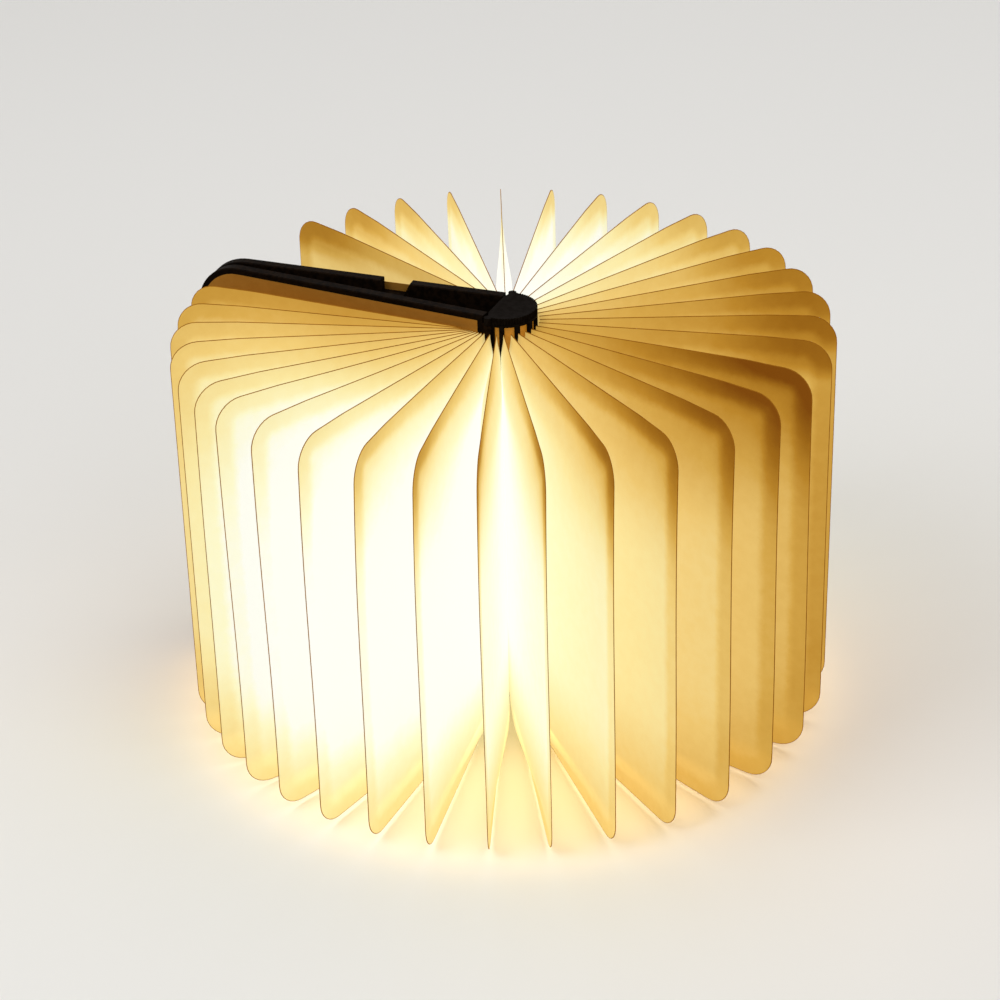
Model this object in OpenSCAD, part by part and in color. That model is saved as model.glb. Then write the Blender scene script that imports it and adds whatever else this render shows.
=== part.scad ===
// Folding book lamp, opened a full turn and standing upright.
// The origin is on the floor, under the line that the leaves radiate from.
// +X points out of the core's round nose, the covers lie back to back along -X, and +Z is up.

/* [Pose] */
// How far the lamp is folded shut, from the open lamp to the closed book
closing = 0; // [0:0.05:1]

/* [Leaves] */
// Distance of the leaves' fore edges inside the covers' fore edges in the closed book
fore_inset = 1.3; // [1:0.1:6]
// Distance of the leaves' top edges below the covers' top edges
leaf_drop = 3; // [2:0.5:6]
// Gap between the leaves and the floor
leaf_lift = 2; // [1:0.5:3]
// Thickness of one paper sheet
sheet_t = 0.16; // [0.1:0.01:0.18]
// Thickness of the open pocket between a leaf's two sheets
pocket_t = 0.14; // [0.06:0.01:0.16]
// Width of the bonded margin round a leaf's top, fore edge and bottom
margin_w = 9; // [6:0.5:14]
// Radius of a leaf's two outer corners
leaf_corner_r = 14; // [12:0.5:18]
// Distance from the root along which a leaf's top edge slopes
slope_l = 110; // [60:5:120]
// How far a leaf's top edge slopes down towards the root
slope_h = 4.5; // [1:0.5:8]
// Number of leaves that follow the front cover
front_leaves = 18; // [16:1:18]
// Number of leaves that follow the back cover
back_leaves = 15; // [14:1:16]
// Distance between neighbouring leaves in the closed book
leaf_pitch = 0.88; // [0.87:0.01:1]
// Direction of the fan's middle, measured from the nose towards the back
fan_middle = 2.2; // [1:0.1:3.5]
// Direction of the last front leaf, measured from the nose
front_last = 176.6; // [170:0.1:177.5]
// Direction of the last back leaf, measured from the nose
back_last = 157.7; // [150:0.1:175]
// How much wider than even the front leaves stand near the fan's middle
front_spread = 0.15; // [0.05:0.01:0.2]
// How much wider than even the back leaves stand near the fan's middle
back_spread = -0.03; // [-0.15:0.01:0.1]

/* [Covers] */
// Width of a cover, from its hinge line to its fore edge
cover_w = 164; // [164:1:172]
// Height of a cover
cover_h = 215; // [214:1:225]
// Thickness of a cover
cover_t = 5.4; // [4.8:0.1:5.8]
// Radius of a cover's two outer corners
cover_corner_r = 24; // [12:1:24]
// Thickness of the cloth over a cover's board
skin_t = 0.9; // [0.6:0.1:1]
// Width of the bevel along a cover's edges
cover_bevel = 0.5; // [0.2:0.1:0.6]
// Length of the notch in the back cover's top edge
notch_l = 12; // [8:1:20]
// Depth of the notch
notch_h = 7; // [4:0.5:9]
// Distance from the hinge line to the notch
notch_x = 55; // [40:1:80]
// Thickness of the endpaper on a cover's inner face
endpaper_t = 0.3; // [0.2:0.05:0.4]
// Distance of an endpaper's edge from the cover's fore edge
endpaper_margin = 3; // [2:0.5:6]
// Diameter of a cover magnet
magnet_d = 12; // [8:1:14]
// Thickness of a cover magnet
magnet_t = 2; // [1.5:0.1:2.5]
// Distance of the holding magnets from the fore edge, the top and the bottom
magnet_inset = 22; // [20:1:30]

/* [Hinges] */
// Distance of the hinge lines in front of the origin
hinge_x = 1; // [0.8:0.1:1.2]
// Distance from a hinge line out to the cover's inner face in the closed book
hinge_face = 0.6; // [0.5:0.05:0.7]
// Diameter of a hinge pin
pin_d = 2; // [1.6:0.1:2.2]
// Wall round a hinge pin
pin_wall = 1; // [0.9:0.05:1]
// Radial running gap of a hinge pin in the caps
pin_gap = 0.05; // [0.03:0.01:0.08]
// Distance that a hinge pin reaches into each cap
pin_grip = 2; // [1.5:0.1:2.2]

/* [Core] */
// Distance of the nose's centre in front of the origin
core_x = 3.8; // [3.7:0.1:4]
// Distance of the core's flat back behind the origin
core_back = 1; // [0.8:0.1:1.1]
// Width of the core's flat back
back_w = 19.2; // [18.6:0.1:19.4]
// Thickness of the top cap
cap_t = 3.5; // [3.5:0.5:5]
// Number of teeth round the top cap's nose
teeth = 34; // [20:1:44]
// Depth of the teeth
tooth_h = 0.55; // [0.3:0.05:0.7]
// Thickness of the bottom cap
base_t = 3; // [2.8:0.1:3.5]
// Thickness of the frame's two rings
ring_t = 1.2; // [1:0.1:3]
// Wall of the frame's rings and bars
frame_wall = 1.8; // [1.5:0.1:2]
// Width of a frame bar
bar_w = 2.4; // [1.6:0.1:3]
// Directions of the bars on each side of the nose
bar_angles = [15, 45, 75];
// Wall of the diffuser
diffuser_t = 0.9; // [0.6:0.1:1.1]
// Thickness of the spine plate
spine_t = 1.4; // [1.2:0.1:1.5]

/* [Light and power] */
// Depth of the LED carrier, from the spine plate to its front wall
carrier_l = 11; // [10:0.1:11.2]
// Width of the LED carrier
carrier_w = 17.2; // [16.6:0.1:17.4]
// Wall of the LED carrier
carrier_wall = 1; // [0.8:0.1:1.2]
// Thickness of the LED carrier's floor and roof
carrier_floor = 4; // [3.5:0.1:5]
// Width of an LED board
led_board_w = 9; // [8:0.5:9]
// Thickness of an LED board
led_board_t = 1.2; // [0.8:0.1:1.4]
// Distance of an LED board from the carrier's two ends
led_board_inset = 8; // [7:1:20]
// Number of LEDs on each board
led_count = 14; // [8:1:18]
// LED size along X, Y and Z
led_size = [3, 1, 3.2];
// Battery size along X, Y and Z
battery_size = [7, 14, 84];
// Height of the battery's underside above the floor
battery_z = 70; // [60:1:100]
// Control board size along X, Y and Z
control_size = [9, 1, 36];
// Height of the control board's underside above the floor
control_z = 9; // [8:1:12]
// Size of a chip on the control board along X, Y and Z
chip_size = [4, 1, 4];
// Heights of the two chips' undersides above the control board's middle
chip_z = [6, 13];
// Charging socket size along X, Y and Z
socket_size = [7.3, 3.2, 8.9];
// Size of the tongue in the charging socket along X, Y and Z
tongue_size = [6.3, 0.7, 6.2];
// Height of the charging socket's middle above the floor
socket_z = 22; // [18:1:26]
// Diameter of a screw's shank
screw_d = 2; // [1.6:0.1:2.2]
// Diameter of a screw's head
screw_head_d = 3.8; // [3:0.1:4]
// Height of a screw's head
screw_head_h = 1; // [0.8:0.1:1.2]
// Length of a screw
screw_l = 5.5; // [4.5:0.1:6]

/* [Hidden] */
$fn = 64;
// Clearance between pieces that pass each other
gap = 0.3;
// Clearance of a piece in its pocket
fit = 0.1;
// Cutting shapes run this much past what they cut
over = 1;
// Play of the leaves between the covers of the closed book
stack_play = 0.91;
// Distance from the core's nose out to the closed covers
core_gap = 0.4;
// Distance from the core's nose out to the leaf roots
root_gap = 2.2;
// The roots' circle is centred this much behind the nose's centre
root_shift = 1.3;
// Distance behind the origin of a root at a half turn
root_back = 14;
// Distance of that root out from the closed covers' inner faces
root_drop = 0.7;
// Distance from a hinge pin's wall to the cover's board
hub_gap = 1;
// Sides of the closed book, as signs of Y
FRONT = -1;
BACK = 1;

leaf_t = 2*sheet_t + pocket_t;
leaf_h = cover_h - leaf_drop - leaf_lift;
book_y = leaf_pitch*(front_leaves + back_leaves + 1)/2 + stack_play;
stack_shift = (front_leaves - back_leaves - 1)/2;
hinge_y = book_y - hinge_face;
core_r = book_y - core_gap;
root_r = core_r + root_gap;
root_x = core_x - root_shift;
root_closed_x = root_x + root_r;
leaf_w = hinge_x + cover_w - fore_inset - root_closed_x;
barrel_r = pin_d/2 + pin_wall;
cover_open = 180 + asin((hinge_y - hinge_face - cover_t - gap/2)/cover_w);
board_x = barrel_r + hub_gap;
cap_z = cover_h - cap_t;
carrier_x = spine_t - core_back;
carrier_h = cap_z - base_t;
diffuser_r = core_r - frame_wall - fit;
led_y = carrier_w/2 + led_board_t;
led_board_h = carrier_h - 2*led_board_inset;
spine_screw_y = 5;
floor_screw_y = 4;
floor_screw_inset = 3;
peg_r = 1.5;
peg_h = 3;
sensor_magnet_d = 6;
sensor_z = 34;
sensor_size = [3, 1.2, 3];

function two(k) = str(k < 10 ? "0" : "", k);
FRONT_LEAVES = [for (k = [1:front_leaves]) str("leaf_front_", two(k))];
BACK_LEAVES = [for (k = [1:back_leaves]) str("leaf_back_", two(k))];

// Where the leaves stand

// Share of the way from the fan's middle to the last leaf, with the leaves between moved on by spread
function fan(u, spread) = u + spread*u*(1 - u);

// Direction of leaf k of a side in the open lamp, negative in front
function leaf_dir(side, k) = side == FRONT
    ? fan_middle - (front_last + fan_middle)*fan((k - 0.5)/(front_leaves - 0.5), front_spread)
    : fan_middle + (back_last - fan_middle)*fan((k - 0.5)/(back_leaves - 0.5), back_spread);

// Root of a leaf in the open lamp: radial up to square to the nose, then bending in beside the cover
function root_reach(a) = root_x*cos(a) + sqrt(pow(root_r, 2) - pow(root_x*sin(a), 2));
function root_open(a) = abs(a) <= 90
    ? root_reach(a)*[cos(a), sin(a)]
    : let (f = abs(a)/90 - 1, y0 = root_reach(90), y1 = book_y - root_drop)
        [-root_back*f, sign(a)*(y0 + (y1 - y0)*f*f)];

// Root of a leaf in the closed book, where the whole stack is centred on the nose
function root_closed(side, k) =
    [root_closed_x, leaf_pitch*(side == FRONT ? stack_shift + 1 - k : stack_shift + k)];

// The upright axis that a leaf turns about between those two places
function leaf_axis(c, p, a) = (c + p)/2 + [c.y - p.y, p.x - c.x]/(2*tan(a/2));

// Shared shapes

// Turns what follows about an upright axis
module turn_about(p, a) {
    translate([p.x, p.y, 0]) rotate([0, 0, a]) translate([-p.x, -p.y, 0]) children();
}

// A page standing in the XZ plane with its root at x = 0, t thick and centred on the plane
module upright(t) {
    rotate([90, 0, 0]) linear_extrude(t, center = true) children();
}

// Outline of a page, its two outer corners rounded
module page(w, h, r) {
    difference() {
        square([w, h]);
        for (top = [0, 1])
            translate([w - r, top*h]) mirror([0, top]) translate([0, r])
                difference() {
                    translate([0, -r - over]) square(r + over);
                    circle(r);
                }
    }
}

// Outline of a leaf, its top edge sloping down to the root
module leaf_outline() {
    difference() {
        page(leaf_w, leaf_h, leaf_corner_r);
        polygon([[-over, leaf_h - slope_h], [0, leaf_h - slope_h], [slope_l, leaf_h],
            [slope_l, leaf_h + over], [-over, leaf_h + over]]);
    }
}

// Outline of the open pocket between a leaf's two sheets
module pocket_outline(x0) {
    translate([x0, margin_w])
        page(leaf_w - margin_w - x0, leaf_h - 2*margin_w - slope_h, leaf_corner_r - margin_w/2);
}

// A double leaf at the origin, its root at x = 0
module leaf_blank() {
    color("cornsilk")
        translate([0, 0, leaf_lift])
            difference() {
                union() {
                    upright(2*sheet_t) leaf_outline();
                    upright(leaf_t) pocket_outline(0);
                }
                upright(pocket_t) pocket_outline(-over);
            }
}

// Leaf k of a side, in its place
module leaf(side, k) {
    a = leaf_dir(side, k);
    p = root_open(a);
    turn_about(leaf_axis(root_closed(side, k), p, a), -a*closing)
        translate([p.x, p.y, 0]) rotate([0, 0, a]) leaf_blank();
}

// Puts a piece of a closed back cover, its hinge line on Z, on either side
module cover_place(side) {
    mirror([0, side == FRONT ? 1 : 0, 0])
        translate([hinge_x, hinge_y, 0]) rotate([0, 0, cover_open*(1 - closing)]) children();
}

// A slab of a cover: its outline starts x0 from the hinge line and is inset by d all round
module cover_slab(x0, d, t, side) {
    translate([x0 + d, hinge_face + cover_t/2, d])
        difference() {
            upright(t) page(cover_w - x0 - 2*d, cover_h - 2*d, cover_corner_r - d);
            if (side == BACK) notch_cut(x0 + d, d, t);
        }
}

// The finger notch with one sloping end, widened by d, where an outline starts x0 from the hinge line
module notch_cut(x0, d, t) {
    top = cover_h - 2*d;
    translate([notch_x - x0, 0, 0])
        upright(t + 2*over)
            polygon([[-d, top - notch_h], [notch_l + d, top - notch_h], [notch_l + d, cover_h],
                [-d - notch_h/2, cover_h], [-d - notch_h/2, cover_h - 2*d]]);
}

// Magnets that hold the covers back to back, and in front the one that the sensor feels

module magnet_at(x, z, d, extra) {
    translate([x, hinge_face + cover_t/2, z])
        rotate([90, 0, 0]) cylinder(h = magnet_t + 2*extra, d = d + 2*extra, center = true);
}

module cover_magnets(side, extra = 0) {
    for (z = [magnet_inset, cover_h - magnet_inset]) magnet_at(cover_w - magnet_inset, z, magnet_d, extra);
    if (side == FRONT) magnet_at(board_x + skin_t + sensor_magnet_d, sensor_z, sensor_magnet_d, extra);
}

// The cloth case of a cover with the barrel that holds its pin
module cover_case(side) {
    barrel_h = cap_z - base_t - 2*gap;
    color("#3b2418")
        cover_place(side)
            difference() {
                union() {
                    hull() {
                        cover_slab(board_x, 0, cover_t - 2*cover_bevel, FRONT);
                        cover_slab(board_x, cover_bevel, cover_t, FRONT);
                    }
                    translate([0, 0, base_t + gap]) cylinder(h = barrel_h, r = barrel_r);
                    translate([0, hinge_face, base_t + gap])
                        cube([board_x + skin_t, barrel_r - hinge_face, barrel_h]);
                }
                if (side == BACK)
                    translate([board_x, hinge_face + cover_t/2, 0]) notch_cut(board_x, 0, cover_t);
                cover_slab(board_x, skin_t, cover_t - 2*skin_t, side);
                cylinder(h = cover_h, d = pin_d);
            }
}

module cover_board(side) {
    color("tan")
        cover_place(side)
            difference() {
                cover_slab(board_x, skin_t, cover_t - 2*skin_t, side);
                cover_magnets(side, fit);
            }
}

module magnets(side) {
    color("silver") cover_place(side) cover_magnets(side);
}

module endpaper(side) {
    color("ivory")
        cover_place(side)
            translate([board_x + endpaper_margin, hinge_face - endpaper_t/2, leaf_lift])
                upright(endpaper_t)
                    page(cover_w - board_x - 2*endpaper_margin, leaf_h, cover_corner_r - endpaper_margin);
}

module hinge_pin(side) {
    color("gray")
        cover_place(side)
            translate([0, 0, base_t - pin_grip]) cylinder(h = cap_z - base_t + 2*pin_grip, d = pin_d);
}

// The core's half-round nose in plan, of radius r
module nose(r) {
    intersection() {
        translate([core_x, 0]) circle(r);
        translate([core_x, -r]) square(2*r);
    }
}

// Outline of the core in plan, with corners on the hinge lines
module core_outline() {
    nose(core_r);
    polygon([[core_x, core_r], [hinge_x, hinge_y], [-core_back, back_w/2],
        [-core_back, -back_w/2], [hinge_x, -hinge_y], [core_x, -core_r]]);
}

// Outline of the space inside the frame
module core_hollow() {
    r = core_r - frame_wall;
    y = back_w/2 - frame_wall;
    nose(r);
    polygon([[core_x, r], [-core_back, y], [-core_back, -y], [core_x, -r]]);
}

// Both hinge lines, for the round shapes on them
module at_hinges() {
    for (side = [FRONT, BACK]) translate([hinge_x, side*hinge_y]) children();
}

// Ears on a cap for the hinge pins
module cap_ears(t) {
    at_hinges() cylinder(h = t, r = barrel_r);
}

// Outline of the top cap, its nose cut into fine teeth
module toothed_outline() {
    step = 90/teeth;
    polygon(concat(
        [[-core_back, -back_w/2], [hinge_x, -hinge_y]],
        [for (i = [-teeth:teeth]) let (r = core_r - (abs(i) % 2)*tooth_h)
            [core_x + r*cos(i*step), r*sin(i*step)]],
        [[hinge_x, hinge_y], [-core_back, back_w/2]]));
}

module top_cap() {
    color("#141414")
        difference() {
            union() {
                translate([0, 0, cap_z]) linear_extrude(cap_t) toothed_outline();
                translate([0, 0, cap_z]) cap_ears(cap_t);
                at_floor_screws() translate([0, 0, cap_z - peg_h]) cylinder(h = peg_h + over, r = peg_r);
            }
            at_hinges()
                translate([0, 0, cap_z - over])
                    cylinder(h = pin_grip + gap + over, r = pin_d/2 + pin_gap);
        }
}

module bottom_cap() {
    color("#141414")
        difference() {
            union() {
                linear_extrude(base_t) core_outline();
                cap_ears(base_t);
            }
            at_hinges()
                translate([0, 0, base_t - pin_grip - gap])
                    cylinder(h = base_t, r = pin_d/2 + pin_gap);
            at_floor_screws() screw_hole();
        }
}

// A countersunk screw pointing up from the origin, and the hole that it passes through
module screw() {
    cylinder(h = screw_head_h, d1 = screw_head_d, d2 = screw_d);
    cylinder(h = screw_l, d = screw_d);
}

module screw_hole() {
    translate([0, 0, -over]) cylinder(h = over, d = screw_head_d);
    cylinder(h = screw_head_h, d1 = screw_head_d, d2 = screw_d);
    cylinder(h = screw_l, d = screw_d);
}

// Places of the screws in the carrier's floor, which the top cap's pegs stand over
module at_floor_screws() {
    for (y = [-floor_screw_y, floor_screw_y])
        translate([carrier_x + carrier_l - floor_screw_inset, y, 0]) children();
}

module at_spine_screws() {
    for (y = [-spine_screw_y, spine_screw_y])
        for (z = [base_t + carrier_floor/2, cap_z - carrier_floor/2])
            translate([-core_back, y, z]) rotate([0, 90, 0]) children();
}

// The core's outline in front of the spine plate's inner face, or behind it
module core_part(front) {
    intersection() {
        core_outline();
        translate([carrier_x - (front ? 0 : 2*core_r), -core_r]) square(2*core_r);
    }
}

// Everything that the hinge barrels sweep
module barrel_room() {
    at_hinges() translate([0, 0, -over]) cylinder(h = cover_h, r = barrel_r + gap);
}

// Wall of the frame in plan, and one of the bars that stay of it between the rings
module frame_ring() {
    difference() {
        core_part(true);
        core_hollow();
    }
}

module frame_bar(a) {
    translate([core_x, 0]) rotate(a)
        translate([0, -bar_w/2]) square([core_r + over, bar_w]);
}

module core_frame() {
    color("#1a1a1a")
        difference() {
            union() {
                for (z = [base_t, cap_z - ring_t]) translate([0, 0, z]) linear_extrude(ring_t) frame_ring();
                translate([0, 0, base_t])
                    linear_extrude(carrier_h)
                        intersection() {
                            frame_ring();
                            union() {
                                for (a = concat(bar_angles, -bar_angles)) frame_bar(a);
                                translate([core_x - 2*core_r, -core_r]) square(2*core_r);
                            }
                        }
            }
            barrel_room();
        }
}

module diffuser() {
    color("white")
        translate([0, 0, base_t])
            linear_extrude(carrier_h)
                difference() {
                    nose(diffuser_r);
                    nose(diffuser_r - diffuser_t);
                }
}

module spine_plate() {
    color("#1a1a1a")
        difference() {
            translate([0, 0, base_t]) linear_extrude(carrier_h) core_part(false);
            barrel_room();
            translate([-core_back - over, 0, socket_z]) socket_shape(spine_t + 2*over, fit);
            at_spine_screws() screw_hole();
        }
}

module spine_screws() {
    color("silver") at_spine_screws() screw();
}

module base_screws() {
    color("silver") at_floor_screws() screw();
}

// An aluminium channel, open at the back, that cools the LED boards and holds the battery
module led_carrier() {
    color("lightgray")
        difference() {
            translate([carrier_x, -carrier_w/2, base_t]) cube([carrier_l, carrier_w, carrier_h]);
            translate([carrier_x - over, carrier_wall - carrier_w/2, base_t + carrier_floor])
                cube([carrier_l - carrier_wall + over, carrier_w - 2*carrier_wall,
                    carrier_h - 2*carrier_floor]);
            at_spine_screws() cylinder(h = screw_l, d = screw_d);
            at_floor_screws() {
                cylinder(h = screw_l, d = screw_d);
                translate([0, 0, cap_z - peg_h]) cylinder(h = peg_h + over, r = peg_r + pin_gap);
            }
        }
}

// A board on either flank of the carrier, and the row of LEDs on it
module led_board(side) {
    color("white")
        translate([carrier_x + carrier_l - led_board_w, side*(carrier_w + led_board_t)/2 - led_board_t/2,
            base_t + led_board_inset])
            cube([led_board_w, led_board_t, led_board_h]);
}

module leds(side) {
    step = led_board_h/led_count;
    color("khaki")
        for (i = [0:led_count - 1])
            translate([carrier_x + carrier_l - (led_board_w + led_size.x)/2,
                side*(led_y + led_size.y/2) - led_size.y/2,
                base_t + led_board_inset + (i + 0.5)*step - led_size.z/2])
                cube(led_size);
}

module battery() {
    color("dodgerblue")
        translate([carrier_x + carrier_l - carrier_wall - battery_size.x - fit, -battery_size.y/2,
            battery_z])
            cube(battery_size);
}

// The control board stands beside the charging socket, which opens through the spine plate
module control_board() {
    color("seagreen")
        translate([carrier_x, -socket_size.y/2 - control_size.y, control_z]) {
            cube(control_size);
            for (z = chip_z)
                translate([(control_size.x - chip_size.x)/2, control_size.y, control_size.z/2 + z])
                    cube(chip_size);
        }
}

// A socket's long round outline, grown by d and pushed l along X
module socket_shape(l, d) {
    r = socket_size.y/2 + d;
    reach = (socket_size.z - socket_size.y)/2;
    rotate([90, 0, 90])
        linear_extrude(l) {
            for (z = [-reach, reach]) translate([0, z]) circle(r);
            square([2*r, 2*reach], center = true);
        }
}

module charging_socket() {
    color("silver")
        translate([-core_back, 0, socket_z]) {
            difference() {
                socket_shape(socket_size.x, 0);
                translate([-over, 0, 0]) socket_shape(socket_size.x + over - gap, -gap);
            }
            translate([socket_size.x - tongue_size.x, -tongue_size.y/2, -tongue_size.z/2])
                cube(tongue_size);
        }
}

// The part that feels whether a cover is folded back
module cover_sensor() {
    color("black")
        translate([carrier_x + gap, -socket_size.y/2 - control_size.y - sensor_size.y,
            sensor_z - sensor_size.z/2])
            cube(sensor_size);
}

cover_case(FRONT);  // front_cover
cover_board(FRONT);  // front_board
magnets(FRONT);  // front_magnets
endpaper(FRONT);  // front_endpaper
hinge_pin(FRONT);  // front_hinge_pin
cover_case(BACK);  // back_cover
cover_board(BACK);  // back_board
magnets(BACK);  // back_magnets
endpaper(BACK);  // back_endpaper
hinge_pin(BACK);  // back_hinge_pin
top_cap();
core_frame();
diffuser();
spine_plate();
spine_screws();
bottom_cap();
base_screws();
led_carrier();
led_board(FRONT);  // front_led_board
led_board(BACK);  // back_led_board
leds(FRONT);  // front_leds
leds(BACK);  // back_leds
battery();
control_board();
charging_socket();
cover_sensor();
for (k = [1:front_leaves])
    leaf(FRONT, k);
for (k = [1:back_leaves])
    leaf(BACK, k);
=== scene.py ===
"""Folding book lamp, opened a full turn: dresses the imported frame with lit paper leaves, cloth covers and the core."""

import logging
import math
from dataclasses import dataclass, field
from enum import Enum

import bmesh
import bpy
from mathutils import Matrix, Vector

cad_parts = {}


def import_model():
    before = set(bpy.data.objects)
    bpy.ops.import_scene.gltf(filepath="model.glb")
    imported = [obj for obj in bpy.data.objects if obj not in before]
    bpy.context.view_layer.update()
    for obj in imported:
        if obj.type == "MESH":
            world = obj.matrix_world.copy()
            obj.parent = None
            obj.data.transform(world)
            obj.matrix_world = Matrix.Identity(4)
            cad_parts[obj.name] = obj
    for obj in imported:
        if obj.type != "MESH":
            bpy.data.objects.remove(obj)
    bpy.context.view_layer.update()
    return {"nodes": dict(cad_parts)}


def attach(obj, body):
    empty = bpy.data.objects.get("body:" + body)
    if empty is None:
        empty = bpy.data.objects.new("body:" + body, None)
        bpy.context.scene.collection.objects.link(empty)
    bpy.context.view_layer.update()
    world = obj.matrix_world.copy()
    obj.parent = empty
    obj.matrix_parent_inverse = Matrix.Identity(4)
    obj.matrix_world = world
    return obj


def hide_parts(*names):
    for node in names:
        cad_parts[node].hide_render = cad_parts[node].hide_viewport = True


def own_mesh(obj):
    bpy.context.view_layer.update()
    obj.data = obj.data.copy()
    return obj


log = logging.getLogger("book_lamp")
MM = 0.001
Rgb = tuple[float, float, float]


# ----------------------------------------------------------------------------
# Shader node helpers and shared groups


class Nodes:
    """A node tree being wired, with short calls for the nodes that the finishes use."""

    def __init__(self, tree: bpy.types.NodeTree) -> None:
        """Start on an empty tree.

        Args:
            tree: The material's or group's node tree.
        """
        self.tree = tree
        tree.nodes.clear()

    def add(self, kind: str, **values: object) -> bpy.types.Node:
        """Add a node and set its properties.

        Args:
            kind: Blender's node type name.
            **values: Node properties by name.

        Returns:
            The new node.
        """
        node = self.tree.nodes.new(kind)
        for name, value in values.items():
            setattr(node, name, value)
        return node

    def wire(self, source: object, target: bpy.types.NodeSocket) -> None:
        """Feed a socket from another socket or with a plain value.

        Args:
            source: The socket or the value.
            target: The socket to feed.
        """
        if isinstance(source, bpy.types.NodeSocket):
            self.tree.links.new(source, target)
        else:
            target.default_value = source

    def math(self, operation: str, *terms: object) -> bpy.types.NodeSocket:
        """Add a math node.

        Args:
            operation: Blender's name of the operation.
            *terms: Up to three sockets or numbers.

        Returns:
            The result.
        """
        node = self.add("ShaderNodeMath", operation=operation)
        for term, socket in zip(terms, node.inputs):
            self.wire(term, socket)
        return node.outputs[0]

    def vector(self, operation: str, *terms: object) -> bpy.types.Node:
        """Add a vector math node.

        Args:
            operation: Blender's name of the operation.
            *terms: Up to two sockets or vectors.

        Returns:
            The node.
        """
        node = self.add("ShaderNodeVectorMath", operation=operation)
        for term, socket in zip(terms, node.inputs):
            self.wire(term, socket)
        return node

    def smooth(self, value: object, low: object, high: object, out_low: object = 0.0,
               out_high: object = 1.0) -> bpy.types.NodeSocket:
        """Map a value smoothly from one range to another.

        Args:
            value: The value.
            low: Where the first range starts.
            high: Where it ends.
            out_low: What low becomes.
            out_high: What high becomes.

        Returns:
            The mapped value.
        """
        node = self.add("ShaderNodeMapRange", interpolation_type="SMOOTHSTEP")
        for term, name in ((value, "Value"), (low, "From Min"), (high, "From Max"), (out_low, "To Min"),
                           (out_high, "To Max")):
            self.wire(term, node.inputs[name])
        return node.outputs["Result"]

    def mix(self, factor: object, a: object, b: object) -> bpy.types.NodeSocket:
        """Mix two colours.

        Args:
            factor: The second colour's share.
            a: The first colour.
            b: The second colour.

        Returns:
            The mixed colour.
        """
        node = self.add("ShaderNodeMix", data_type="RGBA")
        self.wire(factor, node.inputs["Factor"])
        self.wire(a, node.inputs["A"])
        self.wire(b, node.inputs["B"])
        return node.outputs["Result"]

    def noise(self, place: object, scale: float, detail: float = 3.0, roughness: float = 0.5) -> bpy.types.NodeSocket:
        """Add a noise texture.

        Args:
            place: Where the noise is read.
            scale: Waves per metre.
            detail: How many finer layers there are.
            roughness: How strong the finer layers are.

        Returns:
            The noise, from 0 to 1.
        """
        node = self.add("ShaderNodeTexNoise")
        self.wire(place, node.inputs["Vector"])
        node.inputs["Scale"].default_value = scale
        node.inputs["Detail"].default_value = detail
        node.inputs["Roughness"].default_value = roughness
        return node.outputs["Fac"]

    def ramp(self, value: object, *stops: tuple[float, Rgb]) -> bpy.types.NodeSocket:
        """Look a colour up in a ramp.

        Args:
            value: The place in the ramp, from 0 to 1.
            *stops: Each stop's place and colour.

        Returns:
            The colour.
        """
        node = self.add("ShaderNodeValToRGB")
        self.wire(value, node.inputs["Fac"])
        elements = node.color_ramp.elements
        while len(elements) < len(stops):
            elements.new(0.5)
        for element, (place, colour) in zip(elements, stops):
            element.position = place
            element.color = (*colour, 1.0)
        return node.outputs["Color"]

    def group(self, tree: bpy.types.NodeTree, **values: object) -> bpy.types.Node:
        """Place a shared group.

        Args:
            tree: The group.
            **values: What feeds its inputs, by name.

        Returns:
            The group's node.
        """
        node = self.add("ShaderNodeGroup", node_tree=tree)
        for name, value in values.items():
            self.wire(value, node.inputs[name])
        return node


def new_group(name: str, inputs: dict[str, str],
              outputs: dict[str, str]) -> tuple[Nodes, bpy.types.Node, bpy.types.Node]:
    """Make an empty shader group with named sockets.

    Args:
        name: The group's name.
        inputs: Socket names and their types.
        outputs: Socket names and their types.

    Returns:
        The wiring helper, the group's input node and its output node.
    """
    tree = bpy.data.node_groups.new(name, "ShaderNodeTree")
    nodes = Nodes(tree)
    for label, kind in inputs.items():
        tree.interface.new_socket(label, in_out="INPUT", socket_type=kind)
    for label, kind in outputs.items():
        tree.interface.new_socket(label, in_out="OUTPUT", socket_type=kind)
    return nodes, nodes.add("NodeGroupInput"), nodes.add("NodeGroupOutput")


FLOAT, COLOUR, VECTOR = "NodeSocketFloat", "NodeSocketColor", "NodeSocketVector"


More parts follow.
